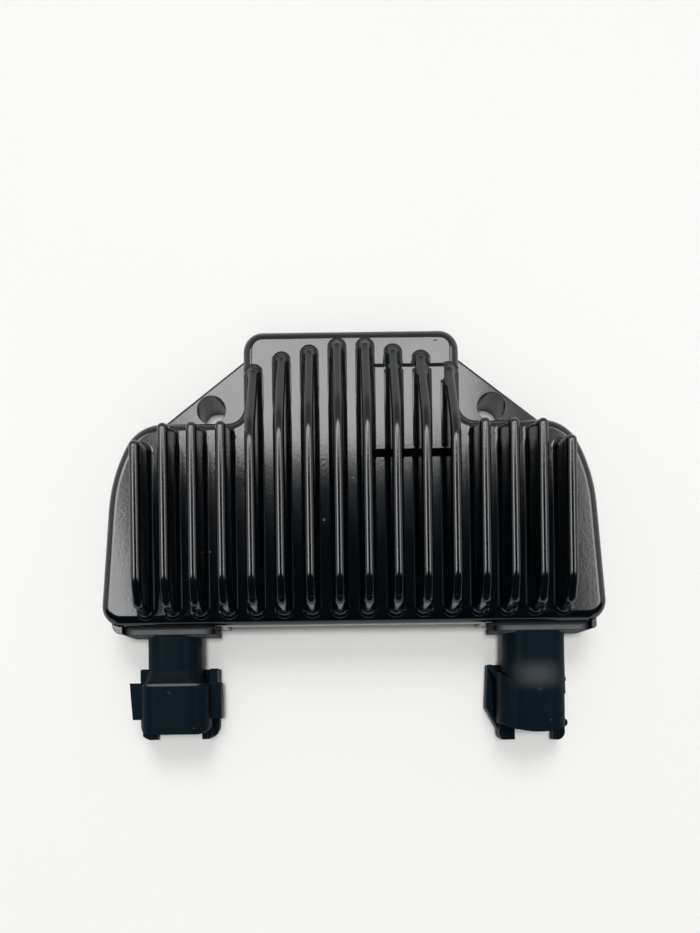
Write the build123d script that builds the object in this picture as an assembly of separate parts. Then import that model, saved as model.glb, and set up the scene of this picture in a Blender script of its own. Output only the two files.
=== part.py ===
# Finned voltage regulator rectifier with two plug sockets.
# Millimetres, +Z out of the fins, +Y towards the raised tab.
# Origin: midway between the two mounting holes, on the back face.
from build123d import *
from math import acos, atan2, cos, pi, radians, sin, sqrt
import os

os.makedirs("parts", exist_ok=True)

# Mounting holes
hole_spacing = 82.5
hole_dia = 8.5
ear_top_z = 13.6
ear_edge_round = 0.8

# Plate outline
plate_top_z = 17.1
tab_half_width = 31.5
tab_top_y = 21.9
tab_corner = 5.8
wing_top_y = -4.45
wing_fillet = 4.8
shoulder_x = 55.35
shoulder_radius = 12.2
side_radius = 48.0
side_lean = 4.6
body_corner = 6.0
body_bottom_y = -63.7
rim_round = 3.0

# Cavity for the electronics, open at the back
cavity_top_z = 12.6
cavity_points = [(26.0, 15.5), (26.0, -9.5), (57.0, -9.5), (64.0, -20.5), (68.0, -56.5)]
cavity_corner = 3.0
front_step_half = 38.0
front_step_y = -60.4
front_step_z = 11.6

# Fins
fin_count = 16
fin_pitch = 8.07
fin_crest_z = 31.0
crown_radius = 600.0
fin_base_half = 2.88
fin_crest_half = 1.45
fin_root_width = 1.15
fin_root_height = 1.1
fin_foot_depth = 2.6
ramp_start_height = 1.7
ramp_tops_y = [16.3, 14.4, 12.5, 9.0]
ramp_full_y = [-12.6, -13.3, -13.9, -15.4]
ramp_ease = [6.0, 5.2, 4.6, 4.2]
outer_fin_y = -8.75
end_fin_y = -13.3
outer_fin_lean = 0.15
fin_low_y = -49.8
fin_end_y = -59.2
fin_end_drop = 2.6
fin_end_lean = 0.1

# Raised pad beside the right tab fins
pad_left = 5.6
pad_right = 26.6
pad_top_y = 11.4
pad_low_y = -15.6
pad_height = 2.9

# Plug seats in the two lower corners
plug_x = 54.0
plug_z = 7.8
seat_y = body_bottom_y
lip_outer_x = 71.0
lip_foot_y = -65.8
lip_corner = 3.0
lip_low_z = 9.6
lip_top_z = 14.8
flange_clearance = 0.15

# Plug bodies
stator_flange_width = 26.8
stator_flange_shift = -0.5
battery_flange_width = 28.3
battery_flange_shift = 1.35
flange_low_z = 0.3
flange_top_z = 13.9
flange_thick = 1.5
flange_corner = 1.5
gasket_thick = 0.8
spigot_width = 17.0
spigot_height = 9.0
spigot_clearance = 0.2
spigot_end_y = -55.6
shroud_wall = 1.5
stator_neck_width = 16.1
stator_neck_height = 12.6
stator_neck_corner = 6.2
stator_shroud_width = 20.3
stator_shroud_height = 14.6
stator_shroud_corner = 5.4
stator_shroud_shift = 0.4
stator_step_y = -80.4
stator_mouth_y = -95.4
stator_base_width = 24.3
stator_base_top_z = 2.9
stator_lug_width = 28.0
battery_neck_width = 18.4
battery_neck_height = 13.2
battery_neck_corner = 6.5
battery_shroud_width = 19.9
battery_shroud_height = 15.0
battery_shroud_corner = 6.4
battery_shroud_shift = -1.1
battery_step_radius = 15.3
battery_step_y = -83.2
battery_mouth_y = -95.9
battery_end_radius = 23.4
stator_foot_y = -97.4
battery_foot_y = -98.8

# Terminals
blade_thick = 0.8
stator_blade_width = 3.6
stator_blade_pitch = 5.4
battery_blade_width = 6.3
battery_blade_pitch = 8.6
battery_blade_shift = -0.7
blade_tip_y = -93.0
lead_bend_y = -51.0
lead_foot_length = 3.2

# Electronics
pad_sheet_thick = 0.4
board_thick = 1.6
board_half_width = 62.0
board_low_y = -53.6
board_top_y = -13.4
board_chamfer = 8.0
device_width = 14.0
device_length = 18.0
device_thick = 4.4
device_pitch = 17.0
device_low_y = -43.5
resin_back_z = 0.7

pad_face_z = cavity_top_z - pad_sheet_thick
board_face_z = pad_face_z - board_thick


def box(x0, x1, y0, y1, z0, z1):
    return Pos((x0 + x1) / 2, (y0 + y1) / 2, (z0 + z1) / 2) * Box(x1 - x0, y1 - y0, z1 - z0)


def polygon(*points):
    # The face always looks up, whichever way round the points run.
    pairs = zip(points, points[1:] + points[:1])
    area = sum(a[0] * b[1] - b[0] * a[1] for a, b in pairs)
    ring = points if area > 0 else tuple(reversed(points))
    return make_face(Polyline(*ring, close=True))


def mirrored(shape):
    return shape.mirror(Plane.YZ)


# Heat sink casting

def plate_outline():
    def around(cx, cy, r, degrees):
        return (cx + r * cos(radians(degrees)), cy + r * sin(radians(degrees)))

    corner = ((tab_half_width - tab_corner, tab_top_y), (tab_half_width, tab_top_y - tab_corner))
    notch = ((tab_half_width, wing_top_y + wing_fillet), (tab_half_width + wing_fillet, wing_top_y))
    cy = wing_top_y - shoulder_radius
    bend = [around(shoulder_x, cy, shoulder_radius, a) for a in (90, 59, 28)]
    cx = bend[2][0] - side_radius * cos(radians(28))
    cy = bend[2][1] - side_radius * sin(radians(28))
    side = [around(cx, cy, side_radius, a) for a in (28, 16, side_lean)]
    foot = (side[2][0] + (side[2][1] - body_bottom_y) * sin(radians(side_lean)) / cos(
        radians(side_lean)), body_bottom_y)
    half = [
        RadiusArc(corner[0], corner[1], tab_corner),
        Line(corner[1], notch[0]),
        RadiusArc(notch[0], notch[1], -wing_fillet),
        Line(notch[1], bend[0]),
        ThreePointArc(*bend),
        ThreePointArc(*side),
        Line(side[2], foot)]
    top = Line((-corner[0][0], tab_top_y), corner[0])
    low = Line(foot, (-foot[0], body_bottom_y))
    whole = [top] + half + [low] + [edge.mirror(Plane.YZ) for edge in half]
    face = make_face(Wire(whole))
    return fillet(face.vertices().sort_by(Axis.Y)[:2], body_corner)


def plate_body():
    plate = extrude(plate_outline(), plate_top_z, dir=(0, 0, 1))
    rim = plate.faces().sort_by(Axis.Z)[-1].edges()
    return fillet(rim, rim_round)


def ear():
    outline = polygon((28.0, 17.1), (58.2, -6.4), (58.2, -8.0), (28.0, -8.0))
    web = extrude(outline, ear_top_z)
    diagonal = [
        e for e in web.edges()
        if abs(e.center().Z - ear_top_z) < 0.01 and 36 < e.length < 40]
    web = fillet(diagonal, ear_edge_round)
    return web


def fin_root(height):
    # Rise of the root fillet, lower where the fin itself is low.
    return min(fin_root_height, 0.55 * height)


def fin_round(height):
    # Centre height of the crest round and the angle where the side line meets it.
    cz = plate_top_z + height - fin_crest_half
    dx, dz = fin_base_half - fin_root_width, plate_top_z + fin_root(height) - cz
    return cz, atan2(dz, dx) + acos(fin_crest_half / sqrt(dx * dx + dz * dz))


def fin_section(x, y, height, lean=0.0):
    b, r, low = fin_base_half, fin_crest_half, plate_top_z - fin_foot_depth
    cz, angle = fin_round(height)

    def at(px, pz):
        return (x + px, y - lean * (pz - plate_top_z), pz)

    def bend(a):
        return at(r * cos(a), cz + r * sin(a))

    def root(side):
        rise = fin_root(height)
        return [at(side * (b - share * fin_root_width), plate_top_z + up * rise)
                for share, up in ((0.0, 0.0), (0.707, 0.293), (1.0, 1.0))]

    right, left = root(1), root(-1)
    edges = [
        Line(at(0.25 - b, low), at(b - 0.25, low)),
        Line(at(b - 0.25, low), right[0]),
        ThreePointArc(*right),
        Line(right[2], bend(angle)),
        ThreePointArc(bend(angle), bend(pi / 2), bend(pi - angle)),
        Line(bend(pi - angle), left[2]),
        ThreePointArc(*reversed(left)),
        Line(left[0], at(0.25 - b, low))]
    return make_face(Wire(edges))


def fin_end(x, y, height, lean=0.0):
    # A hair slimmer than the fin, so that the two join on a clean line.
    b, r = fin_base_half - 0.03, fin_crest_half - 0.03
    cz, angle = fin_round(height)
    rise = fin_root(height)
    levels = [
        (plate_top_z - fin_foot_depth, b - 0.25), (plate_top_z, b),
        (plate_top_z + 0.08 * rise, b - 0.38 * fin_root_width),
        (plate_top_z + 0.293 * rise, b - 0.707 * fin_root_width),
        (plate_top_z + 0.6 * rise, b - 0.92 * fin_root_width),
        (plate_top_z + rise, b - fin_root_width)]
    for step in range(5):
        a = angle + (radians(84) - angle) * step / 4
        levels.append((cz + r * sin(a), r * cos(a)))
    rings = [Pos(x, y - lean * (z - plate_top_z), z) * Circle(radius) for z, radius in levels]
    return loft(rings, ruled=True)


def fin_stations(side, height):
    # Each station is (y, height above the plate, lean), from the tab to the plug side.
    if side >= 4:
        top, full = ramp_tops_y[7 - side], ramp_full_y[7 - side]
        ease = ramp_ease[7 - side]
        slope = (height - ramp_start_height) / (top - full - ease)
        stations = [(top, ramp_start_height, 0.0)]
        for step in (0.0, 0.25, 0.5, 0.75, 1.0):
            drop = slope * ease * (1 - step) ** 2
            stations.append((full + 2 * ease * (1 - step), height - drop, 0.0))
    else:
        stations = [(end_fin_y if side == 0 else outer_fin_y, height, outer_fin_lean)]
    for reach in (0.0, 0.33, 0.6, 0.82):
        y = fin_low_y + (fin_end_y - fin_low_y) * reach
        stations.append((y, height - fin_end_drop * reach ** 2.2, 0.0))
    stations.append((fin_end_y, height - fin_end_drop, -fin_end_lean))
    return stations


def fin(index):
    x = (index - (fin_count - 1) / 2) * fin_pitch
    height = fin_crest_z - x * x / (2 * crown_radius) - plate_top_z
    stations = fin_stations(min(index, fin_count - 1 - index), height)
    body = loft([fin_section(x, *station) for station in stations], ruled=True)
    return body + fin_end(x, *stations[0]) + fin_end(x, *stations[-1])


def raised_pad():
    low, high = plate_top_z - 1.0, plate_top_z + pad_height
    outline = polygon(
        (pad_low_y - 0.5, low), (pad_low_y, plate_top_z), (pad_low_y + 1.3, high),
        (pad_top_y - 2.3, high), (pad_top_y, plate_top_z), (pad_top_y + 0.5, low))
    profile = Plane.YZ * outline
    return Pos(pad_left, 0, 0) * extrude(profile, pad_right - pad_left, dir=(1, 0, 0))


def cavity():
    half = cavity_points
    ring = half + [(-x, y) for x, y in reversed(half)]
    block = extrude(polygon(*ring), cavity_top_z)
    upright = block.edges().filter_by(Axis.Z)
    return fillet(upright, cavity_corner)


def flange_lip(width, shift):
    # A short lip that wraps the outer end of the plug flange.
    inner = plug_x + shift + width / 2 + flange_clearance
    outline = polygon(
        (inner, -58.0), (lip_outer_x, -58.0), (lip_outer_x, lip_foot_y), (inner, lip_foot_y))
    corner = outline.vertices().sort_by(Axis.Y)[:2].sort_by(Axis.X)[-1]
    outline = fillet(corner, min(lip_corner, lip_outer_x - inner - 0.3))
    return Pos(0, 0, lip_low_z) * extrude(outline, lip_top_z - lip_low_z)


def spigot(clearance, y0, y1):
    w, h = spigot_width + 2 * clearance, spigot_height + 2 * clearance
    face = Plane.XZ.offset(-y0) * RectangleRounded(w, h, 2.0)
    return Pos(0, 0, plug_z) * extrude(face, y0 - y1)


def plug_window(x):
    return Pos(x, 0, 0) * spigot(spigot_clearance, -53.0, -70.0)


def heat_sink_housing():
    body = plate_body() + [ear(), mirrored(ear())]
    for index in range(fin_count // 2):
        one = fin(index)
        body += [one, mirrored(one)]
    body += raised_pad()
    body -= box(-front_step_half, front_step_half, -80, front_step_y, -1, front_step_z)
    body += flange_lip(battery_flange_width, battery_flange_shift)
    body += mirrored(flange_lip(stator_flange_width, -stator_flange_shift))
    body -= cavity()
    body -= [plug_window(plug_x), plug_window(-plug_x)]
    for x in (-hole_spacing / 2, hole_spacing / 2):
        body -= Pos(x, 0, ear_top_z / 2) * Cylinder(hole_dia / 2, ear_top_z + 20)
    return body


# Plug bodies, built at x = 0 and then placed

def tube(width, height, corner, y0, y1, z=0.0):
    face = Plane.XZ.offset(-y0) * RectangleRounded(width, height, corner)
    return Pos(0, 0, plug_z + z) * extrude(face, y0 - y1)


def rounded_plan(x0, x1, y0, y1, corner, z0, z1):
    plan = Pos((x0 + x1) / 2, (y0 + y1) / 2) * RectangleRounded(x1 - x0, y1 - y0, corner)
    return Pos(0, 0, z0) * extrude(plan, z1 - z0)


def flange(width, shift):
    back = seat_y - gasket_thick
    face = Plane.XZ.offset(-back) * RectangleRounded(
        width, flange_top_z - flange_low_z, flange_corner)
    return Pos(shift, 0, (flange_top_z + flange_low_z) / 2) * extrude(face, flange_thick)


def plug_root(neck, neck_end, width, shift):
    back = seat_y - gasket_thick
    root = flange(width, shift) + spigot(0.0, spigot_end_y, back - 0.5)
    return root + tube(*neck, back - 0.5, neck_end)


def section_at(width, height, corner, y, shift=0.0):
    face = Plane.XZ.offset(-y) * RectangleRounded(width, height, corner)
    return Pos(shift, 0, plug_z) * face


def stator_plug_body():
    w, h, low = stator_shroud_width, stator_shroud_height, 0.5
    nw, nh, nr = stator_neck_width, stator_neck_height, stator_neck_corner
    body = plug_root((nw, nh, nr), -78.0, stator_flange_width, stator_flange_shift)
    body += loft([
        section_at(nw, nh, nr, -76.6),
        section_at(nw + 1.0, nh + 0.5, nr, -78.6),
        section_at(w - 0.6, h - 1.4, nr, stator_step_y - 1.2, stator_shroud_shift)], ruled=True)
    shroud = tube(w, h, stator_shroud_corner, stator_step_y, stator_mouth_y)
    rear = shroud.faces().sort_by(Axis.Y)[-1].edges()
    shroud = fillet(rear, 0.9)
    shroud &= rounded_plan(-w / 2, w / 2, stator_mouth_y, -60, 3.0, 0, 30)
    body += Pos(stator_shroud_shift, 0, 0) * shroud
    half = stator_base_width / 2
    base = rounded_plan(-half, half, stator_foot_y, -66.0, 4.4, low, stator_base_top_z)
    base -= box(-half, half, -75.8, -50, low - 1, 30)
    base -= box(-7.05, 6.55, -99, stator_mouth_y + 0.4, low - 1, 30)
    body += base
    for side in (-1, 1):
        foot = rounded_plan(-half, half, stator_foot_y, -86.0, 4.4, low, plug_z - 2.0)
        centre = side * 8.7 - 0.25
        body += foot & box(centre - 1.9, centre + 1.9, stator_foot_y, -93.5, 0, 20)
    body += box(-10.5, -8.4, -82.0, -75.8, low, plug_z + 0.2)
    body += box(10.3, 12.5, -82.0, -75.8, low, plug_z + 0.2)
    lug = stator_lug_width / 2
    lugs = polygon((-lug, -80.0), (lug - 0.35, -80.0), (lug - 0.35, -90.9), (0.8 - lug, -91.1))
    body += Pos(0, 0, plug_z - 3.4) * extrude(lugs, 3.8)
    return body


def stator_plug_cavity():
    w, h, r = stator_shroud_width, stator_shroud_height, stator_shroud_corner
    inner = tube(w - 2 * shroud_wall, h - 2 * shroud_wall, r - shroud_wall, -83.4, -99.0)
    notch = box(-2.2, 2.2, -99, -89.5, plug_z + h / 2 - 2.4, plug_z + h / 2 - 0.8)
    return Pos(stator_shroud_shift, 0, 0) * (inner + notch)


def battery_wing(low):
    # A low side wing with a long slot beside the shroud and a rib along its rear pocket.
    floor, top = low + 0.8, low + 4.2
    wing = Pos(0, 0, floor) * extrude(polygon(
        (-13.1, -75.6), (-7.5, -75.6), (-7.5, -95.2), (-10.2, -95.2), (-13.75, -88.7)), top - floor)
    wing -= Pos(0, 0, floor + 1.3) * extrude(polygon(
        (-12.1, -75.0), (-7.0, -75.0), (-7.0, -82.6), (-10.4, -79.0)), 9.0)
    wing -= Pos(0, 0, floor + 0.8) * extrude(polygon(
        (-12.7, -77.3), (-10.4, -80.4), (-9.5, -80.4), (-9.5, -93.4), (-11.0, -93.4)), 9.0)
    rib = polygon((-13.1, -75.6), (-12.2, -75.6), (-10.3, -78.9), (-10.3, -80.3), (-12.7, -77.1))
    return wing + Pos(0, 0, floor) * extrude(rib, top - floor + 1.6)


def battery_plug_body():
    w, h, r = battery_shroud_width, battery_shroud_height, battery_shroud_corner
    nw, nh, nr = battery_neck_width, battery_neck_height, battery_neck_corner
    low = plug_z - h / 2
    body = plug_root((nw, nh, nr), -74.0, battery_flange_width, battery_flange_shift)
    body += loft([
        section_at(nw, nh, nr, -73.0),
        section_at(nw + 0.5, nh + 0.4, nr, -77.0, -0.25),
        section_at(nw + 0.7, nh + 1.0, nr, -84.8, -0.25)], ruled=True)
    shroud = Pos(battery_shroud_shift, 0, 0) * tube(w, h, r, -76.0, battery_mouth_y)
    shroud -= Pos(0.5, battery_step_y + battery_step_radius, 0) * Cylinder(battery_step_radius, 60)
    end = Pos(0, battery_mouth_y + battery_end_radius, 0) * Cylinder(battery_end_radius, 60)
    body += shroud & end
    body += battery_wing(low)
    feet = rounded_plan(-10.1, 9.85, battery_foot_y, -86.0, 2.4, low + 0.2, plug_z - 1.4)
    feet -= box(-4.3, 6.9, -99, battery_mouth_y + 0.6, low - 1, plug_z + 1)
    body += feet
    body += box(7.3, 9.3, -81.0, -79.8, low + 4.0, plug_z + 2.0)
    body += rounded_plan(7.7, 10.1, -94.7, -92.3, 1.1, plug_z - 3.0, plug_z + 0.6)
    return body


def battery_plug_cavity():
    w, h, r = battery_shroud_width, battery_shroud_height, battery_shroud_corner
    inner = tube(w - 2 * shroud_wall, h - 2 * shroud_wall, r - shroud_wall, -84.6, -99.0)
    top = plug_z + h / 2
    keys = [box(s * 3.6 - 0.8, s * 3.6 + 0.8, -99, -88.0, top - 2.4, top - 0.8) for s in (-1, 1)]
    return Pos(battery_shroud_shift, 0, 0) * (inner + keys)


def gasket(width, shift):
    face = Plane.XZ.offset(-seat_y) * RectangleRounded(
        width - 0.4, flange_top_z - flange_low_z - 0.4, flange_corner)
    ring = Pos(shift, 0, (flange_top_z + flange_low_z) / 2) * extrude(face, gasket_thick)
    return ring - spigot(spigot_clearance, seat_y + 1, seat_y - gasket_thick - 1)


def terminal(x, width):
    # A flat blade that runs through the plug, bends up and lands on the board.
    z0, z1 = plug_z - blade_thick / 2, plug_z + blade_thick / 2
    strip = box(x - width / 2, x + width / 2, blade_tip_y, lead_bend_y, z0, z1)
    tip = strip.edges().filter_by(Axis.Z).sort_by(Axis.Y)[:2]
    strip = chamfer(tip, 0.7)
    riser = box(x - width / 2, x + width / 2, lead_bend_y - blade_thick, lead_bend_y, z0, board_face_z)
    foot = box(x - width / 2, x + width / 2, lead_bend_y - blade_thick,
               lead_bend_y + lead_foot_length, board_face_z - blade_thick, board_face_z)
    return strip + riser + foot


# Electronics inside the cavity

def board_plan(grow):
    w = board_half_width + grow
    return polygon(
        (-w, board_low_y - grow), (w, board_low_y - grow), (w, board_top_y - board_chamfer),
        (w - board_chamfer, board_top_y + grow), (-w + board_chamfer, board_top_y + grow),
        (-w, board_top_y - board_chamfer))


def power_device(slot):
    x = (slot - 2.5) * device_pitch
    top = board_face_z
    body = box(x - device_width / 2, x + device_width / 2, device_low_y,
               device_low_y + device_length, top - device_thick, top)
    body = chamfer(body.faces().sort_by(Axis.Z)[0].edges(), 0.5)
    tab = box(x - device_width / 2 + 1.2, x + device_width / 2 - 1.2,
              device_low_y + device_length, device_low_y + device_length + 2.6, top - 1.4, top)
    legs = [box(x + dx - 0.6, x + dx + 0.6, device_low_y - 4.0, device_low_y, top - 0.7, top)
            for dx in (-5.0, 0.0, 5.0)]
    return body + tab + legs


def control_chip():
    top = board_face_z
    body = box(-6.0, 4.0, -21.0, -16.0, top - 2.2, top)
    body = chamfer(body.faces().sort_by(Axis.Z)[0].edges(), 0.3)
    for row in range(7):
        x = -5.3 + 1.38 * row
        body += box(x, x + 0.5, -22.2, -14.8, top - 0.6, top)
    return body


def storage_capacitor():
    z = board_face_z - 4.0
    can = Pos(24.0, -18.0, z) * Rot(0, 90, 0) * Cylinder(4.0, 12.0)
    groove = Pos(19.4, -18.0, z) * Rot(0, 90, 0) * (Cylinder(4.2, 0.8) - Cylinder(3.6, 1.0))
    legs = [box(16.0, 18.4, -18.0 + dy - 0.3, -18.0 + dy + 0.3, z, board_face_z)
            for dy in (-1.8, 1.8)]
    return can - groove + legs


def shunt_resistor():
    top = board_face_z
    return box(38.0, 46.0, -21.2, -16.0, top - 1.6, top) - box(40.0, 44.0, -22, -15, top - 2, top - 1.2)


def gate_resistor(x):
    top = board_face_z
    body = box(x - 1.6, x + 1.6, -19.4, -17.0, top - 0.9, top)
    return body - box(x - 0.9, x + 0.9, -20, -16, top - 1, top - 0.7)


def write(name, shape):
    export_step(shape, "parts/" + name + ".step")


left = Pos(-plug_x, 0, 0)
right = Pos(plug_x, 0, 0)

housing = heat_sink_housing()
stator_terminals = [
    left * terminal((n - 1) * stator_blade_pitch, stator_blade_width) for n in range(3)]
battery_terminals = [
    right * terminal((n - 0.5) * battery_blade_pitch + battery_blade_shift, battery_blade_width)
    for n in range(2)]
stator_plug = left * (stator_plug_body() - stator_plug_cavity())
battery_plug = right * (battery_plug_body() - battery_plug_cavity())
for piece in stator_terminals:
    stator_plug -= piece
for piece in battery_terminals:
    battery_plug -= piece

thermal_sheet = Pos(0, 0, pad_face_z) * extrude(board_plan(-0.4), pad_sheet_thick)
circuit_board = Pos(0, 0, board_face_z) * extrude(board_plan(0.0), board_thick)
devices = [power_device(n) for n in range(6)]
small_parts = {
    "control_chip": control_chip(),
    "storage_capacitor": storage_capacitor(),
    "shunt_resistor": shunt_resistor(),
    "gate_resistor_1": gate_resistor(-38.0),
    "gate_resistor_2": gate_resistor(-28.0),
    "gate_resistor_3": gate_resistor(-18.0)}

potting_resin = cavity() & box(-90, 90, -90, 90, resin_back_z, cavity_top_z)
inner = [thermal_sheet, circuit_board, stator_plug, battery_plug]
inner += devices + stator_terminals + battery_terminals + list(small_parts.values())
for piece in inner:
    potting_resin -= piece

write("heat_sink_housing", housing)
write("potting_resin", potting_resin)
write("thermal_sheet", thermal_sheet)
write("circuit_board", circuit_board)
for n in range(3):
    write("thyristor_" + str(n + 1), devices[n])
    write("rectifier_diode_" + str(n + 1), devices[n + 3])
    write("stator_terminal_" + str(n + 1), stator_terminals[n])
for n in range(2):
    write("battery_terminal_" + str(n + 1), battery_terminals[n])
for name, shape in small_parts.items():
    write(name, shape)
write("stator_plug_housing", stator_plug)
write("battery_plug_housing", battery_plug)
write("stator_gasket", left * gasket(stator_flange_width, stator_flange_shift))
write("battery_gasket", right * gasket(battery_flange_width, battery_flange_shift))
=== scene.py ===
import math

import bmesh
import bpy
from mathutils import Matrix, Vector


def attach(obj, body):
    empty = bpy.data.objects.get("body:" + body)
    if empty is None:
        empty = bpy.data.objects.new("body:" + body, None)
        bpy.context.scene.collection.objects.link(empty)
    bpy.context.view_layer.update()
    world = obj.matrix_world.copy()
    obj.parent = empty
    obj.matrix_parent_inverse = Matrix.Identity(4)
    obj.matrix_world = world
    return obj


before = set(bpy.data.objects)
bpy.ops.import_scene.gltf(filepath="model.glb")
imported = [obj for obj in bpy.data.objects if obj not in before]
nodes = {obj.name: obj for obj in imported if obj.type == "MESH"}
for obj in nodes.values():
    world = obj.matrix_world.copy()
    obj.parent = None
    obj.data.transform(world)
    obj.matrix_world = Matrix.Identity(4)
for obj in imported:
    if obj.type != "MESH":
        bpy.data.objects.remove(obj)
print("frame loaded:", len(nodes), "pieces")


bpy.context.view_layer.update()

tone = {  # linear colours of the finishes
    "enamel": (0.0010, 0.0021, 0.0034, 1.0),
    "enamelWorn": (0.022, 0.024, 0.025, 1.0),
    "plug": (0.0020, 0.0070, 0.0110, 1.0),
    # pale plug colour: real scuffs, edge wear and dust, and also painted highlights and painted lit faces
    "plugScuffAndHighlight": (0.130, 0.138, 0.140, 1.0),
    "gasket": (0.0060, 0.0062, 0.0066, 1.0),
    "resin": (0.010, 0.010, 0.011, 1.0),
    "tin": (0.62, 0.58, 0.50, 1.0),
    "tinDull": (0.34, 0.31, 0.26, 1.0),
    "board": (0.012, 0.075, 0.040, 1.0),
    "boardWeave": (0.020, 0.105, 0.058, 1.0),
    "sheet": (0.36, 0.38, 0.41, 1.0),
    "package": (0.014, 0.014, 0.015, 1.0),
    "canMetal": (0.60, 0.61, 0.63, 1.0),
    "glaze": (0.030, 0.031, 0.034, 1.0),
    "floor": (0.880, 0.885, 0.872, 1.0),
}


# small helpers for node trees

def addNode(tree, kind, values=None, **settings):
    made = tree.nodes.new(kind)
    for key, value in settings.items():
        setattr(made, key, value)
    for key, value in (values or {}).items():
        made.inputs[key].default_value = value
    return made


def link(tree, source, target):
    tree.links.new(source, target)


def mathNode(tree, operation, first, second=None, clamp=False):
    made = addNode(tree, "ShaderNodeMath", operation=operation, use_clamp=clamp)
    for i, term in enumerate((first, second)):
        if term is None:
            continue
        if isinstance(term, (int, float)):
            made.inputs[i].default_value = term
        else:
            link(tree, term, made.inputs[i])
    return made.outputs[0]


def mapRange(tree, value, low, high, outLow=0.0, outHigh=1.0, smooth=True):
    made = addNode(tree, "ShaderNodeMapRange", {"From Min": low, "From Max": high, "To Min": outLow,
                                                "To Max": outHigh})
    made.interpolation_type = "SMOOTHSTEP" if smooth else "LINEAR"
    link(tree, value, made.inputs["Value"])
    return made.outputs["Result"]


def noise(tree, vector, scale, detail=2.0, roughness=0.5, stretch=None):
    if stretch:
        mapping = addNode(tree, "ShaderNodeMapping", {"Scale": stretch})
        link(tree, vector, mapping.inputs["Vector"])
        vector = mapping.outputs["Vector"]
    made = addNode(tree, "ShaderNodeTexNoise", {"Scale": scale, "Detail": detail, "Roughness": roughness})
    link(tree, vector, made.inputs["Vector"])
    return made.outputs["Fac"]


def newGroup(name, inputs, outputs):
    tree = bpy.data.node_groups.new(name, "ShaderNodeTree")
    for label, kind, value in inputs:
        made = tree.interface.new_socket(name=label, in_out="INPUT", socket_type=kind)
        if value is not None:
            made.default_value = value
    for label, kind in outputs:
        tree.interface.new_socket(name=label, in_out="OUTPUT", socket_type=kind)
    return tree, tree.nodes.new("NodeGroupInput"), tree.nodes.new("NodeGroupOutput")


def useGroup(tree, group, position, values):
    made = addNode(tree, "ShaderNodeGroup", node_tree=group)
    for key, value in values.items():
        made.inputs[key].default_value = value
    link(tree, position, made.inputs["Position"])
    return made


def mixColour(tree, factor, first, second):
    made = addNode(tree, "ShaderNodeMix", data_type="RGBA")
    link(tree, factor, made.inputs[0])
    for socket, value in ((made.inputs[6], first), (made.inputs[7], second)):
        if isinstance(value, tuple):
            socket.default_value = value
        else:
            link(tree, value, socket)
    return made.outputs[2]


def offsetFromCentre(tree, start):
    # where a point is from the group's Centre, in shares of its Reach
    away = addNode(tree, "ShaderNodeVectorMath", operation="SUBTRACT")
    link(tree, start.outputs["Position"], away.inputs[0])
    link(tree, start.outputs["Centre"], away.inputs[1])
    scaled = addNode(tree, "ShaderNodeVectorMath", operation="DIVIDE")
    link(tree, away.outputs[0], scaled.inputs[0])
    link(tree, start.outputs["Reach"], scaled.inputs[1])
    return scaled.outputs[0]


def lengthOf(tree, vector):
    made = addNode(tree, "ShaderNodeVectorMath", operation="LENGTH")
    link(tree, vector, made.inputs[0])
    return made.outputs["Value"]


# effects that several finishes share

grainLook = {"cloudScale": 38.0, "cloudLow": 0.35, "cloudHigh": 0.65}


def grainGroup():
    tree, start, end = newGroup(
        "surfaceGrain",
        [("Position", "NodeSocketVector", None), ("Fine Scale", "NodeSocketFloat", 2600.0),
         ("Peel Scale", "NodeSocketFloat", 520.0), ("Fine Share", "NodeSocketFloat", 0.4)],
        [("Height", "NodeSocketFloat"), ("Cloud", "NodeSocketFloat")])
    fine = addNode(tree, "ShaderNodeTexNoise", {"Detail": 3.0, "Roughness": 0.55})
    peel = addNode(tree, "ShaderNodeTexNoise", {"Detail": 1.5, "Roughness": 0.45})
    cloud = addNode(tree, "ShaderNodeTexNoise", {"Scale": grainLook["cloudScale"], "Detail": 3.0,
                                                 "Roughness": 0.6})
    for made in (fine, peel, cloud):
        link(tree, start.outputs["Position"], made.inputs["Vector"])
    link(tree, start.outputs["Fine Scale"], fine.inputs["Scale"])
    link(tree, start.outputs["Peel Scale"], peel.inputs["Scale"])
    share = mathNode(tree, "MULTIPLY", fine.outputs["Fac"], start.outputs["Fine Share"])
    height = mathNode(tree, "ADD", share, peel.outputs["Fac"])
    link(tree, height, end.inputs["Height"])
    clouds = mapRange(tree, cloud.outputs["Fac"], grainLook["cloudLow"], grainLook["cloudHigh"])
    link(tree, clouds, end.inputs["Cloud"])
    return tree


def speckGroup():
    tree, start, end = newGroup(
        "dustSpecks",
        [("Position", "NodeSocketVector", None), ("Scale", "NodeSocketFloat", 260.0),
         ("Size", "NodeSocketFloat", 0.09), ("Share", "NodeSocketFloat", 0.10)],
        [("Mask", "NodeSocketFloat")])
    cells = addNode(tree, "ShaderNodeTexVoronoi", {"Randomness": 1.0}, feature="F1")
    link(tree, start.outputs["Position"], cells.inputs["Vector"])
    link(tree, start.outputs["Scale"], cells.inputs["Scale"])
    near = mathNode(tree, "LESS_THAN", cells.outputs["Distance"], start.outputs["Size"])
    apart = addNode(tree, "ShaderNodeSeparateColor")
    link(tree, cells.outputs["Color"], apart.inputs[0])
    rare = mathNode(tree, "LESS_THAN", apart.outputs[0], start.outputs["Share"])
    link(tree, mathNode(tree, "MULTIPLY", near, rare), end.inputs["Mask"])
    return tree


wearLook = {
    "flat": 0.995, "sharp": 0.90,  # how far the rounded normal agrees with the true one, off and on an edge
    "patchLow": 0.42, "patchHigh": 0.62,
}


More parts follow.
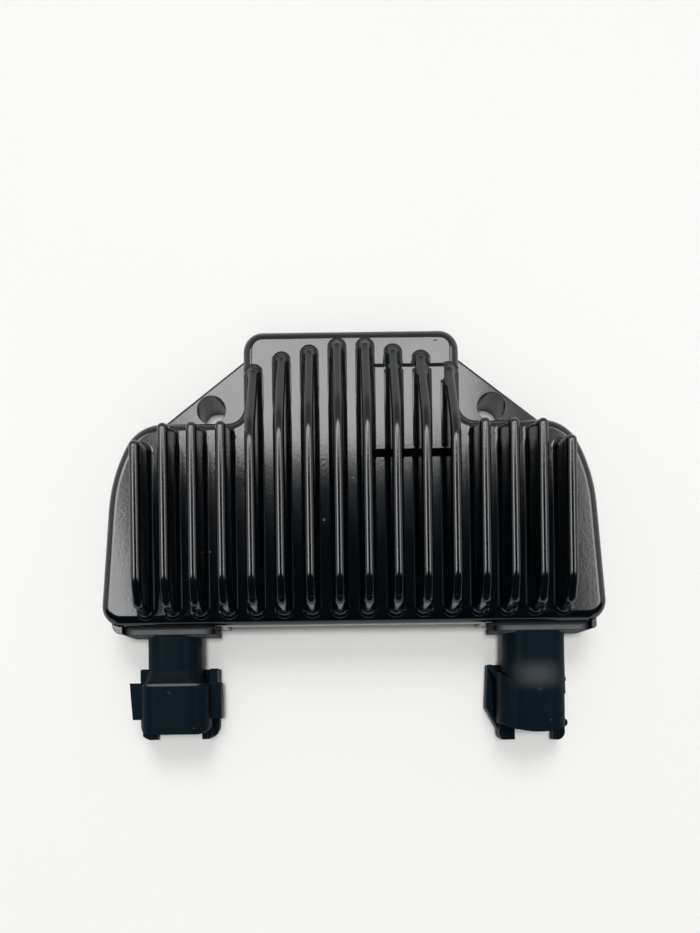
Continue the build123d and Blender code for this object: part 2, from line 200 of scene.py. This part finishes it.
def wearGroup():
    tree, start, end = newGroup(
        "edgeWear",
        [("Position", "NodeSocketVector", None), ("Radius", "NodeSocketFloat", 0.0006),
         ("Breakup", "NodeSocketFloat", 420.0), ("Amount", "NodeSocketFloat", 0.5)],
        [("Mask", "NodeSocketFloat")])
    rounded = addNode(tree, "ShaderNodeBevel", samples=4)
    link(tree, start.outputs["Radius"], rounded.inputs["Radius"])
    geometry = addNode(tree, "ShaderNodeNewGeometry")
    dot = addNode(tree, "ShaderNodeVectorMath", operation="DOT_PRODUCT")
    link(tree, rounded.outputs["Normal"], dot.inputs[0])
    link(tree, geometry.outputs["Normal"], dot.inputs[1])
    edge = mapRange(tree, dot.outputs["Value"], wearLook["flat"], wearLook["sharp"])
    patch = addNode(tree, "ShaderNodeTexNoise", {"Detail": 3.0, "Roughness": 0.65})
    link(tree, start.outputs["Position"], patch.inputs["Vector"])
    link(tree, start.outputs["Breakup"], patch.inputs["Scale"])
    broken = mapRange(tree, patch.outputs["Fac"], wearLook["patchLow"], wearLook["patchHigh"])
    worn = mathNode(tree, "MULTIPLY", edge, broken)
    mask = mathNode(tree, "MULTIPLY", worn, start.outputs["Amount"], True)
    link(tree, mask, end.inputs["Mask"])
    return tree


placedInputs = [("Position", "NodeSocketVector", None), ("Centre", "NodeSocketVector", None),
                ("Reach", "NodeSocketVector", None)]
chipLook = {"scale": 2400.0, "ragged": 0.9, "outside": 1.55, "inside": 1.15}


def markGroup():
    tree, start, end = newGroup("chipMark", placedInputs, [("Mask", "NodeSocketFloat")])
    length = lengthOf(tree, offsetFromCentre(tree, start))
    rough = noise(tree, start.outputs["Position"], chipLook["scale"])
    ragged = mathNode(tree, "ADD", length, mathNode(tree, "MULTIPLY", rough, chipLook["ragged"]))
    link(tree, mapRange(tree, ragged, chipLook["outside"], chipLook["inside"]), end.inputs["Mask"])
    return tree


streakLook = {
    "scale": 2600.0, "detail": 3.0, "roughness": 0.65,
    "stretch": (1.0, 0.22, 1.0),  # long along Y
    "faint": 0.50, "strong": 0.66,
    "full": 0.3,  # share of the reach before the streaks start to fade
}


def streakGroup():
    look = streakLook
    tree, start, end = newGroup("rubbedStreaks", placedInputs, [("Mask", "NodeSocketFloat")])
    inside = mapRange(tree, lengthOf(tree, offsetFromCentre(tree, start)), 1.0, look["full"])
    position = start.outputs["Position"]
    lines = noise(tree, position, look["scale"], look["detail"], look["roughness"], look["stretch"])
    shown = mapRange(tree, lines, look["faint"], look["strong"])
    link(tree, mathNode(tree, "MULTIPLY", inside, shown), end.inputs["Mask"])
    return tree


# painted light: a soft-edged box mask that lays painted highlights and painted lit faces on the plugs
def makePaintedLightGroup():
    tree, start, end = newGroup(
        "paintedLitBox", placedInputs + [("Fade", "NodeSocketFloat", 0.5)], [("Mask", "NodeSocketFloat")])
    apart = addNode(tree, "ShaderNodeSeparateXYZ")
    link(tree, offsetFromCentre(tree, start), apart.inputs[0])
    mask = None
    for axis in range(3):
        off = mathNode(tree, "ABSOLUTE", apart.outputs[axis])
        fade = addNode(tree, "ShaderNodeMapRange", {"From Min": 1.0, "To Min": 0.0, "To Max": 1.0},
                       interpolation_type="SMOOTHSTEP")
        link(tree, off, fade.inputs["Value"])
        link(tree, start.outputs["Fade"], fade.inputs["From Max"])
        part = fade.outputs["Result"]
        mask = part if mask is None else mathNode(tree, "MULTIPLY", mask, part)
    link(tree, mask, end.inputs["Mask"])
    return tree


grain = grainGroup()
specks = speckGroup()
wear = wearGroup()
chip = markGroup()
streaks = streakGroup()
paintedLightBands = makePaintedLightGroup()


def newMaterial(name):
    material = bpy.data.materials.new(name)
    material.use_nodes = True
    tree = material.node_tree
    shader = tree.nodes["Principled BSDF"]
    place = addNode(tree, "ShaderNodeTexCoord").outputs["Object"]
    return material, tree, shader, place


def bumpFrom(tree, shader, height, look, edgeRadius=None):
    bump = addNode(tree, "ShaderNodeBump", {"Strength": look["bump"], "Distance": look["bumpDepth"]})
    link(tree, height, bump.inputs["Height"])
    if edgeRadius:
        rounded = addNode(tree, "ShaderNodeBevel", {"Radius": edgeRadius}, samples=6)
        link(tree, rounded.outputs["Normal"], bump.inputs["Normal"])
    link(tree, bump.outputs["Normal"], shader.inputs["Normal"])


def wornRoughness(tree, cloud, light, look):
    base = mapRange(tree, cloud, 0.0, 1.0, look["roughLow"], look["roughHigh"], False)
    return mathNode(tree, "ADD", base, mathNode(tree, "MULTIPLY", light, look["roughWorn"]), True)


# heat sink housing: gloss enamel over a die casting

housingLook = {
    "specular": 0.5,
    "roughLow": 0.105, "roughHigh": 0.145,
    "roughWorn": 0.25,  # added where dust, wear or a chip shows
    "bump": 0.26, "bumpDepth": 0.00004,
    "edgeRadius": 0.00025,
    "chipDepth": 1.5,  # depth of a chip against the grain
    "grain": {"Fine Scale": 4300.0, "Peel Scale": 1200.0, "Fine Share": 0.45},
    "dust": {"Scale": 210.0, "Size": 0.035, "Share": 0.05},
    "wear": {"Radius": 0.0005, "Breakup": 380.0, "Amount": 0.35},
    "marks": [  # place and reach of each small chip in the enamel, metres
        ((-0.0326, -0.0196, 0.0300), (0.0006, 0.0008, 0.0012)),
        ((0.0002, -0.0212, 0.0171), (0.0004, 0.0004, 0.0008)),
        ((-0.0084, -0.0334, 0.0172), (0.0004, 0.0004, 0.0008)),
        ((-0.0045, -0.0376, 0.0172), (0.0003, 0.0003, 0.0008)),
        ((-0.0416, -0.0424, 0.0172), (0.0004, 0.0003, 0.0008)),
        ((0.0245, 0.0180, 0.0171), (0.0006, 0.0002, 0.0008)),
    ],
}


def enamelMaterial():
    look = housingLook
    material, tree, shader, place = newMaterial("blackEnamel")
    skin = useGroup(tree, grain, place, look["grain"])
    dust = useGroup(tree, specks, place, look["dust"])
    worn = useGroup(tree, wear, place, look["wear"])
    chips = None
    for centre, reach in look["marks"]:
        one = useGroup(tree, chip, place, {"Centre": centre, "Reach": reach}).outputs["Mask"]
        chips = one if chips is None else mathNode(tree, "MAXIMUM", chips, one)
    light = mathNode(tree, "MAXIMUM", dust.outputs["Mask"], worn.outputs["Mask"])
    light = mathNode(tree, "MAXIMUM", light, chips)
    link(tree, mixColour(tree, light, tone["enamel"], tone["enamelWorn"]), shader.inputs["Base Color"])
    link(tree, wornRoughness(tree, skin.outputs["Cloud"], light, look), shader.inputs["Roughness"])
    shader.inputs["Specular IOR Level"].default_value = look["specular"]
    pits = mathNode(tree, "MULTIPLY", chips, look["chipDepth"])
    height = mathNode(tree, "SUBTRACT", skin.outputs["Height"], pits)
    bumpFrom(tree, shader, height, look, look["edgeRadius"])
    return material


# plug housings: moulded glass filled plastic, satin

plugLook = {
    "specular": 0.04,
    "roughLow": 0.40, "roughHigh": 0.50,
    "roughWorn": 0.2,
    "bump": 0.22, "bumpDepth": 0.00004,
    "edgeRadius": 0.00035,
    "grain": {"Fine Scale": 3400.0, "Peel Scale": 700.0, "Fine Share": 0.8},
    "dust": {"Scale": 420.0, "Size": 0.06, "Share": 0.07},
    "wear": {"Radius": 0.0005, "Breakup": 600.0, "Amount": 0.15},
}

# scuffs: centre, reach and how much; the bands are painted light (painted highlights and painted lit faces
# in the pale plug colour): centre, reach, share of the reach before the fade and how much
statorLook = {
    "scuffs": [
        ((-0.0545, -0.0832, 0.0150), (0.0012, 0.0006, 0.0012), 1.0),
    ],
    "paintedLightBands": [
        # painted highlight along the top edge of the shroud's step
        ((-0.0537, -0.0808, 0.0150), (0.0086, 0.00042, 0.0040), 0.4, 4.0),
        # painted lit strip along the top edge of the flange
        ((-0.0545, -0.0652, 0.0142), (0.0131, 0.00085, 0.0011), 0.75, 0.85),
        # painted lit front face of the flange
        ((-0.0545, -0.0660, 0.0066), (0.0131, 0.0005, 0.0070), 0.85, 0.65),
    ],
}
batteryLook = {
    "scuffs": [
        ((0.0542, -0.0836, 0.0150), (0.0012, 0.0014, 0.0016), 0.9),
        ((0.0535, -0.0806, 0.0146), (0.0036, 0.0030, 0.0016), 0.40),
    ],
    "paintedLightBands": [
        # painted highlight: a soft glow on the neck's flare
        ((0.0537, -0.0790, 0.0150), (0.0098, 0.0054, 0.0075), 0.1, 0.32),
        # painted lit strip along the top edge of the flange
        ((0.0553, -0.0652, 0.0142), (0.0139, 0.00085, 0.0011), 0.75, 0.85),
        # painted lit front face of the flange
        ((0.0553, -0.0660, 0.0066), (0.0139, 0.0005, 0.0070), 0.85, 0.65),
    ],
}


def plugMaterial(name, marks):
    look = plugLook
    material, tree, shader, place = newMaterial(name)
    skin = useGroup(tree, grain, place, look["grain"])
    worn = useGroup(tree, wear, place, look["wear"])
    dust = useGroup(tree, specks, place, look["dust"])
    light = mathNode(tree, "MAXIMUM", worn.outputs["Mask"], dust.outputs["Mask"])
    for centre, reach, amount in marks["scuffs"]:
        one = useGroup(tree, streaks, place, {"Centre": centre, "Reach": reach}).outputs["Mask"]
        light = mathNode(tree, "MAXIMUM", light, mathNode(tree, "MULTIPLY", one, amount))
    # painted light: these bands lay painted highlights and painted lit faces in the pale plug colour
    for centre, reach, fade, amount in marks["paintedLightBands"]:
        one = useGroup(tree, paintedLightBands, place, {"Centre": centre, "Reach": reach, "Fade": fade}).outputs["Mask"]
        light = mathNode(tree, "MAXIMUM", light, mathNode(tree, "MULTIPLY", one, amount))
    link(tree, mixColour(tree, light, tone["plug"], tone["plugScuffAndHighlight"]), shader.inputs["Base Color"])
    link(tree, wornRoughness(tree, skin.outputs["Cloud"], light, look), shader.inputs["Roughness"])
    shader.inputs["Specular IOR Level"].default_value = look["specular"]
    bumpFrom(tree, shader, skin.outputs["Height"], look, look["edgeRadius"])
    return material


# gaskets, resin and the pieces behind the casting

gasketLook = {
    "base": "gasket", "worn": "package",
    "roughLow": 0.55, "roughHigh": 0.75, "bump": 0.25, "bumpDepth": 0.00004,
    "grain": {"Fine Scale": 2600.0, "Peel Scale": 600.0, "Fine Share": 0.8},
}
resinLook = {
    "base": "resin", "worn": "package",
    "roughLow": 0.28, "roughHigh": 0.48, "bump": 0.35, "bumpDepth": 0.00025,
    "grain": {"Fine Scale": 900.0, "Peel Scale": 120.0, "Fine Share": 0.15},
}
terminalLook = {
    "base": "tin", "worn": "tinDull", "metallic": 1.0,
    "roughLow": 0.20, "roughHigh": 0.42, "bump": 0.20, "bumpDepth": 0.00003,
    "grain": {"Fine Scale": 2600.0, "Peel Scale": 500.0, "Fine Share": 0.4},
    "stretch": (1.0, 0.05, 1.0),  # drawing scratches along the blade
}
sheetLook = {
    "base": "sheet", "worn": "canMetal",
    "roughLow": 0.60, "roughHigh": 0.80, "bump": 0.25, "bumpDepth": 0.00005,
    "grain": {"Fine Scale": 3000.0, "Peel Scale": 900.0, "Fine Share": 0.9},
}
packageLook = {
    "base": "package", "worn": "glaze",
    "roughLow": 0.45, "roughHigh": 0.60, "bump": 0.30, "bumpDepth": 0.00003,
    "grain": {"Fine Scale": 3600.0, "Peel Scale": 1100.0, "Fine Share": 0.9},
}
canLook = {
    "base": "canMetal", "worn": "tinDull", "metallic": 1.0,
    "roughLow": 0.18, "roughHigh": 0.32, "bump": 0.15, "bumpDepth": 0.00002,
    "grain": {"Fine Scale": 2600.0, "Peel Scale": 700.0, "Fine Share": 0.4},
    "stretch": (1.0, 0.05, 1.0),
}
glazeLook = {
    "base": "glaze", "worn": "package",
    "roughLow": 0.12, "roughHigh": 0.22, "bump": 0.10, "bumpDepth": 0.00002,
    "grain": {"Fine Scale": 2000.0, "Peel Scale": 600.0, "Fine Share": 0.3},
}
plainLook = {  # what these finishes share
    "wear": {"Radius": 0.0004, "Breakup": 700.0, "Amount": 0.5},
    "edgeRadius": 0.00015,
    "scratchScale": 900.0, "scratchDetail": 2.0, "scratchRoughness": 0.6,
    "heightLow": 0.2, "heightHigh": 1.2,  # grain heights that the roughness range spans
}


def plainMaterial(name, look):
    shared = plainLook
    material, tree, shader, place = newMaterial(name)
    skin = useGroup(tree, grain, place, look["grain"])
    edge = useGroup(tree, wear, place, shared["wear"])
    light = mathNode(tree, "MAXIMUM", skin.outputs["Cloud"], edge.outputs["Mask"])
    colour = mixColour(tree, light, tone[look["base"]], tone[look["worn"]])
    link(tree, colour, shader.inputs["Base Color"])
    height = skin.outputs["Height"]
    if "stretch" in look:
        scratches = noise(tree, place, shared["scratchScale"], shared["scratchDetail"],
                          shared["scratchRoughness"], look["stretch"])
        height = mathNode(tree, "ADD", height, scratches)
    rough = mapRange(tree, height, shared["heightLow"], shared["heightHigh"], look["roughLow"],
                     look["roughHigh"], False)
    link(tree, rough, shader.inputs["Roughness"])
    shader.inputs["Metallic"].default_value = look.get("metallic", 0.0)
    bumpFrom(tree, shader, height, look, shared["edgeRadius"])
    return material


boardLook = {
    "roughLow": 0.30, "roughHigh": 0.42, "bump": 0.20, "bumpDepth": 0.00003,
    "weave": {"Scale": 5200.0 / 6.0, "Distortion": 0.6, "Detail": 1.0},
    "grain": {"Fine Scale": 2400.0, "Peel Scale": 500.0, "Fine Share": 0.4},
}


def boardMaterial():
    look = boardLook
    material, tree, shader, place = newMaterial("boardLaminate")
    waves = []
    for direction in ("X", "Y"):
        made = addNode(tree, "ShaderNodeTexWave", look["weave"], bands_direction=direction)
        link(tree, place, made.inputs["Vector"])
        waves.append(made.outputs["Fac"])
    weave = mathNode(tree, "MULTIPLY", waves[0], waves[1])
    skin = useGroup(tree, grain, place, look["grain"])
    link(tree, mixColour(tree, weave, tone["board"], tone["boardWeave"]), shader.inputs["Base Color"])
    rough = mapRange(tree, skin.outputs["Cloud"], 0.0, 1.0, look["roughLow"], look["roughHigh"], False)
    link(tree, rough, shader.inputs["Roughness"])
    bumpFrom(tree, shader, weave, look)
    return material


enamel = enamelMaterial()
stator = plugMaterial("statorPlugPlastic", statorLook)
battery = plugMaterial("batteryPlugPlastic", batteryLook)
gasket = plainMaterial("gasketRubber", gasketLook)
resin = plainMaterial("pottingResin", resinLook)
tin = plainMaterial("tinnedBrass", terminalLook)
board = boardMaterial()
sheetPad = plainMaterial("thermalSheetGrey", sheetLook)
package = plainMaterial("mouldedPackage", packageLook)
can = plainMaterial("drawnCan", canLook)
glaze = plainMaterial("glazedChip", glazeLook)
print("finishes made:", len(bpy.data.materials))

finishes = {
    "heat_sink_housing": (enamel, "black_casting"),
    "stator_plug_housing": (stator, "black_plug_plastic"),
    "battery_plug_housing": (battery, "black_plug_plastic"),
    "stator_gasket": (gasket, "gasket_rubber"),
    "battery_gasket": (gasket, "gasket_rubber"),
    "potting_resin": (resin, "resin"),
    "thermal_sheet": (sheetPad, "thermal_sheet"),
    "circuit_board": (board, "board"),
    "control_chip": (package, "device_plastic"),
    "storage_capacitor": (can, "capacitor_can"),
    "shunt_resistor": (glaze, "resistor_body"),
}
numbered = {  # how many there are, their finish and their slot
    "thyristor": (3, package, "device_plastic"),
    "rectifier_diode": (3, package, "device_plastic"),
    "gate_resistor": (3, glaze, "resistor_body"),
    "stator_terminal": (3, tin, "terminal_metal"),
    "battery_terminal": (2, tin, "terminal_metal"),
}
for stem, (count, material, slotName) in numbered.items():
    for number in range(1, count + 1):
        finishes[f"{stem}_{number}"] = (material, slotName)

for name, (material, slotName) in finishes.items():
    mesh = nodes[name].data
    mesh.materials.clear()
    mesh.materials.append(material)
print("finishes placed:", len(finishes), "of", len(nodes))

# fin skins: the casting's fins again, with the run-outs and ends drawn smooth

finShape = {  # millimetres, as in the casting
    "count": 16, "pitch": 8.07, "crest": 31.0, "crown": 600.0, "plate": 17.1,
    "foot": 2.88, "round": 1.45, "rootWidth": 1.15, "rootHeight": 1.1, "depth": 2.6,
    "rootShare": 0.55,  # most of a low fin's height that its root round takes
    "tuck": 0.25, "sink": 0.02,  # how far the skin draws in below the plate and dips under its floor
    "rampTop": [16.3, 14.4, 12.5, 9.0], "rampFull": [-12.6, -13.3, -13.9, -15.4],
    "rampEase": [6.0, 5.2, 4.6, 4.2], "rampStart": 1.7, "rampSoft": 1.1,
    "outerY": -8.75, "endY": -13.3, "outerLean": 0.15,
    "lowY": -49.8, "footY": -59.2, "drop": 2.6, "footLean": 0.1,
    "lowPower": 2.2,  # how the crest bends down towards the plugs
    "footBend": 0.55,  # beyond this share of the run-out the crest falls in a straight line
    "pad": 2.9, "padTop": 11.4, "padLow": -15.6, "padEaseTop": 2.3, "padEaseLow": 1.3,
    "padSpare": 1.0,  # least height that a fin keeps over the pad
    "padRight": [8, 9, 10], "padLeft": [9, 10, 11],  # fins whose right or left side is on the raised pad
    "proud": 0.03,  # how far the straight sides stand off the casting
    "rows": 72, "capSteps": 14, "rootSteps": 6, "crestSteps": 10, "sideShares": (0.33, 0.66),
    "probe": 0.1,  # length over which the slope of a crest's start is measured
    "capLeast": 0.5,  # keeps the fall of an end round finite on the lowest fins
    "weld": 0.0005,  # points closer than this become one
}


def finProfile(height, base):
    # half widths and heights from the foot up to the middle of the crest, over a floor at base
    f = finShape
    b, rise = f["foot"], min(f["rootHeight"], f["rootShare"] * (height - base))
    cz = height - f["round"]
    dx, dz = b - f["rootWidth"], base + rise - cz
    turn = math.atan2(dz, dx) + math.acos(f["round"] / math.hypot(dx, dz))
    levels = [(b - f["tuck"] + f["proud"], -f["depth"]), (b + f["proud"], base - f["sink"])]
    for step in range(1, f["rootSteps"] + 1):
        a = math.radians(90 / f["rootSteps"] * step)
        levels.append((b + f["proud"] - f["rootWidth"] * math.sin(a), base + rise * (1 - math.cos(a))))
    crest = f["round"] + f["proud"]
    last, first = levels[-1], (crest * math.cos(turn), cz + crest * math.sin(turn))
    for share in f["sideShares"]:
        levels.append((last[0] + (first[0] - last[0]) * share, last[1] + (first[1] - last[1]) * share))
    for step in range(f["crestSteps"] + 1):
        a = turn + (math.pi / 2 - turn) * step / f["crestSteps"]
        levels.append((max(crest * math.cos(a), 0.0), cz + crest * math.sin(a)))
    return levels


def underTab(side):
    # place among the fins that run out under the tab, counted from the middle, or None for the outer ones
    k = finShape["count"] // 2 - 1 - side
    return k if k < len(finShape["rampTop"]) else None


def finHeight(y, side, full):
    f = finShape
    height = full
    k = underTab(side)
    if k is not None:
        top, flat, ease = f["rampTop"][k], f["rampFull"][k], f["rampEase"][k]
        slope = (full - f["rampStart"]) / (top - flat - ease)
        if y > flat + 2 * ease:
            along = top - y
            soft = (along + math.hypot(along, f["rampSoft"])) / 2
            height = f["rampStart"] + slope * soft
        elif y > flat:
            height = full - slope * ease * ((y - flat) / (2 * ease)) ** 2
    if y < f["lowY"]:
        reach = min((f["lowY"] - y) / (f["lowY"] - f["footY"]), 1.0)
        bend, power = f["footBend"], f["lowPower"]
        beyond = power * bend ** (power - 1) * max(reach - bend, 0.0)
        height -= f["drop"] * (min(reach, bend) ** power + beyond)
    return height


def padFloor(y, height):
    f = finShape
    rise = min((f["padTop"] - y) / f["padEaseTop"], (y - f["padLow"]) / f["padEaseLow"], 1.0)
    return max(min(f["pad"] * rise, height - f["padSpare"]), 0.0)


def finLean(y, side, start):
    f = finShape
    lean = 0.0
    if underTab(side) is None and y > f["lowY"]:
        lean = f["outerLean"] * (y - f["lowY"]) / (start - f["lowY"])
    if y < f["lowY"]:
        lean = -f["footLean"] * ((f["lowY"] - y) / (f["lowY"] - f["footY"])) ** 2
    return lean


def finPoint(x, row, level, dx, dy, slope=0.0):
    # a point of the skin in metres; dx and dy are the way out from the fin's middle line
    f = finShape
    y, right, left, lean = row
    profile = right if dx > 0 else left
    width, z = profile[level]
    centre = profile[-1][1] - f["round"]
    drop = slope * abs(dy) * width * min(max(z / max(centre, f["capLeast"]), 0.0), 1.0)
    return ((x + dx * width) / 1000, (y + dy * width - lean * z) / 1000, (f["plate"] + z - drop) / 1000)


def finRows(index, side, full, start):
    f = finShape
    rows = []
    for step in range(f["rows"] + 1):
        y = start + (f["footY"] - start) * step / f["rows"]
        height = finHeight(y, side, full)
        pad = padFloor(y, height)
        right = finProfile(height, pad if index in f["padRight"] else 0.0)
        left = finProfile(height, pad if index in f["padLeft"] else 0.0)
        rows.append((y, right, left, finLean(y, side, start)))
    return rows


def finSkin(index):
    f = finShape
    x = (index - (f["count"] - 1) / 2) * f["pitch"]
    side = min(index, f["count"] - 1 - index)
    full = f["crest"] - x * x / (2 * f["crown"]) - f["plate"]
    k = underTab(side)
    if k is not None:
        start = f["rampTop"][k]
    else:
        start = f["endY"] if side == 0 else f["outerY"]
    rows = finRows(index, side, full, start)
    # the ends carry on the slope of the crest
    startSlope = (finHeight(start - f["probe"], side, full) - finHeight(start, side, full)) / f["probe"]
    run = f["lowY"] - f["footY"] - 2 * f["footLean"] * (full - f["drop"])
    footSlope = f["lowPower"] * f["drop"] * f["footBend"] ** (f["lowPower"] - 1) / run
    turns = [math.pi * step / f["capSteps"] for step in range(1, f["capSteps"])]
    loops = []
    for level in range(len(rows[0][1])):
        loop = [finPoint(x, row, level, 1, 0) for row in rows]
        loop += [finPoint(x, rows[-1], level, math.cos(a), -math.sin(a), footSlope) for a in turns]
        loop += [finPoint(x, row, level, -1, 0) for row in reversed(rows)]
        loop += [finPoint(x, rows[0], level, -math.cos(a), math.sin(a), startSlope) for a in turns]
        loops.append(loop)
    count = len(loops[0])
    points = [point for loop in loops for point in loop]
    faces = []
    for level in range(len(loops) - 1):
        low, high = level * count, (level + 1) * count
        for here in range(count):
            after = (here + 1) % count
            faces.append((low + after, low + here, high + here, high + after))
    return points, faces


def finSkins():
    mesh = bpy.data.meshes.new("fin_skins")
    points, faces = [], []
    for index in range(finShape["count"]):
        morePoints, moreFaces = finSkin(index)
        base = len(points)
        points += morePoints
        faces += [tuple(base + k for k in face) for face in moreFaces]
    mesh.from_pydata(points, [], faces)
    work = bmesh.new()
    work.from_mesh(mesh)
    bmesh.ops.remove_doubles(work, verts=work.verts, dist=finShape["weld"] / 1000)
    bmesh.ops.recalc_face_normals(work, faces=work.faces)
    for face in work.faces:
        face.smooth = True
    work.to_mesh(mesh)
    work.free()
    made = bpy.data.objects.new("fin_skins", mesh)
    bpy.context.scene.collection.objects.link(made)
    mesh.materials.append(enamel)
    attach(made, "root")
    return made


skins = finSkins()
print("fin skins:", len(skins.data.polygons), "faces")

# floor, lamps and flags

floorLook = {
    "half": 3.0, "level": -0.0003,  # metres; just under the casting's back
    "patches": (0.862, 0.866, 0.850, 1.0), "patchScale": 3.0,
    "roughness": 0.62, "specular": 0.25,
    "bump": 0.05, "bumpDepth": 0.0002, "grainScale": 900.0,
}
lampLook = {
    "level": 0.517,  # height of the flat lamps, metres
    "mirrorPoint": (-0.0039, -0.0868, -0.193),  # the camera mirrored in the plate's top face
    "flat": {  # edges as slopes from the mirror point, then brightness and turn in degrees
        "northLamp": (-0.24, 0.205, 0.345, 0.56, 8.2, 0.0),
        "westLamp": (-0.66, -0.314, 0.05, 0.56, 7.4, 12.0),
        "eastLamp": (0.345, 0.64, 0.05, 0.56, 6.0, 6.0),
    },
    "soft": {  # where it stands, its width in radians, and its share of full light on the table
        "keyLamp": ((0.0, 0.02, 0.62), 0.20, 0.51),
        "northSoft": ((0.0, 0.95, 1.25), 0.45, 0.23),
        "southSoft": ((0.0, -0.75, 0.95), 0.5, 0.05),
    },
}
flagLook = {
    "dark": (0.012, 0.015, 0.020, 1.0),
    "grey": (0.58, 0.60, 0.62, 1.0),
    "cards": {  # shade and corners of each card
        "flagOverhead": ("dark", [(-0.196, -0.60, 0.52), (0.225, -0.60, 0.52), (0.225, 0.155, 0.52),
                                  (-0.196, 0.155, 0.52)]),
        "flagNorth": ("grey", [(-0.42, 0.32, 0.52), (0.42, 0.32, 0.52), (0.60, 1.00, 0.34),
                               (-0.60, 1.00, 0.34)]),
        "flagSouth": ("dark", [(-0.60, -0.60, 0.52), (0.60, -0.60, 0.52), (0.75, -1.10, 0.20),
                               (-0.75, -1.10, 0.20)]),
        "flagWest": ("dark", [(-1.20, -0.60, 0.20), (-0.196, -0.60, 0.52), (-0.196, -0.06, 0.52),
                              (-1.20, -0.06, 0.20)]),
        "flagEast": ("dark", [(0.225, -0.60, 0.52), (1.20, -0.60, 0.20), (1.20, -0.06, 0.20),
                              (0.225, -0.06, 0.52)]),
    },
}
backdropLook = {
    "colour": (1.0, 1.0, 0.992, 1.0),
    "seen": 1.0,  # strength in view and in reflections
    "ambient": 0.28,  # strength of the light that it sheds
}


def plane(name, corners):
    mesh = bpy.data.meshes.new(name)
    mesh.from_pydata(corners, [], [tuple(range(len(corners)))])
    made = bpy.data.objects.new(name, mesh)
    bpy.context.scene.collection.objects.link(made)
    return made


def floorMaterial():
    look = floorLook
    material, tree, shader, place = newMaterial("paleTable")
    wide = noise(tree, place, look["patchScale"])
    fine = noise(tree, place, look["grainScale"], 3.0, 0.6)
    tint = mixColour(tree, mapRange(tree, wide, 0.3, 0.7), tone["floor"], look["patches"])
    link(tree, tint, shader.inputs["Base Color"])
    shader.inputs["Roughness"].default_value = look["roughness"]
    shader.inputs["Specular IOR Level"].default_value = look["specular"]
    bumpFrom(tree, shader, fine, look)
    return material


def softLamp(name, toward, spread, share):
    data = bpy.data.lights.new(name, "SUN")
    data.angle = spread
    data.energy = share * math.pi * Vector(toward).length / toward[2]
    made = bpy.data.objects.new(name, data)
    made.location = toward
    made.rotation_euler = (-Vector(toward)).to_track_quat("-Z", "Y").to_euler()
    made.visible_camera = made.visible_glossy = False
    bpy.context.scene.collection.objects.link(made)


def flatLamp(name, left, right, low, high, brightness, turn):
    ox, oy, oz = lampLook["mirrorPoint"]
    reach = lampLook["level"] - oz
    width, depth = (right - left) * reach, (high - low) * reach
    data = bpy.data.lights.new(name, "AREA")
    data.shape = "RECTANGLE"
    data.size, data.size_y = width, depth
    data.energy = brightness * math.pi * width * depth  # so that its size leaves the brightness alone
    made = bpy.data.objects.new(name, data)
    made.location = (ox + (left + right) / 2 * reach, oy + (low + high) / 2 * reach, lampLook["level"])
    made.rotation_euler = (0.0, 0.0, math.radians(turn))
    made.visible_camera = made.visible_diffuse = False
    bpy.context.scene.collection.objects.link(made)


def flagMaterial(name, colour):
    material = bpy.data.materials.new(name)
    material.use_nodes = True
    tree = material.node_tree
    tree.nodes.remove(tree.nodes["Principled BSDF"])
    glow = addNode(tree, "ShaderNodeEmission", {"Color": colour, "Strength": 1.0})
    link(tree, glow.outputs[0], tree.nodes["Material Output"].inputs["Surface"])
    return material


def flagCard(name, corners, material):
    # a card that only reflections see
    card = plane(name, corners)
    card.data.materials.append(material)
    for ray in ("camera", "diffuse", "transmission", "volume_scatter", "shadow"):
        setattr(card, "visible_" + ray, False)


def backdrop():
    world = bpy.data.worlds.new("studio")
    bpy.context.scene.world = world
    world.use_nodes = True
    tree = world.node_tree
    background = tree.nodes["Background"]
    background.inputs["Color"].default_value = backdropLook["colour"]
    path = addNode(tree, "ShaderNodeLightPath")
    seen = mathNode(tree, "MAXIMUM", path.outputs["Is Camera Ray"], path.outputs["Is Glossy Ray"])
    seen = mathNode(tree, "MAXIMUM", seen, path.outputs["Is Transmission Ray"])
    strength = mapRange(tree, seen, 0.0, 1.0, backdropLook["ambient"], backdropLook["seen"], False)
    link(tree, strength, background.inputs["Strength"])


half, level = floorLook["half"], floorLook["level"]
table = plane("table", [(-half, -half, level), (half, -half, level), (half, half, level),
                        (-half, half, level)])
table.data.materials.append(floorMaterial())
for lampName, values in lampLook["flat"].items():
    flatLamp(lampName, *values)
for lampName, values in lampLook["soft"].items():
    softLamp(lampName, *values)
flagShades = {shade: flagMaterial(shade + "Flag", flagLook[shade]) for shade in ("dark", "grey")}
for flagName, (shade, corners) in flagLook["cards"].items():
    flagCard(flagName, corners, flagShades[shade])
backdrop()
print("table, lamps and flags in place")

# camera over the plugs, looking straight down as in the photograph

cameraLook = {
    "place": (-0.00393, -0.08676, 0.2271), "turn": -0.76,  # metres and degrees
    "lens": 27.96, "sensor": 36.0,  # millimetres
    "shiftX": 0.0086, "shiftY": 0.2535,
    "near": 0.01, "far": 20.0,
}
cameraData = bpy.data.cameras.new("camera")
cameraData.lens = cameraLook["lens"]
cameraData.sensor_width = cameraLook["sensor"]
cameraData.sensor_fit = "AUTO"
cameraData.shift_x, cameraData.shift_y = cameraLook["shiftX"], cameraLook["shiftY"]
cameraData.clip_start, cameraData.clip_end = cameraLook["near"], cameraLook["far"]
camera = bpy.data.objects.new("camera", cameraData)
camera.location = cameraLook["place"]
camera.rotation_euler = (0.0, 0.0, math.radians(cameraLook["turn"]))
bpy.context.scene.collection.objects.link(camera)
bpy.context.scene.camera = camera
bpy.context.scene.view_settings.view_transform = "Standard"
print("camera set")
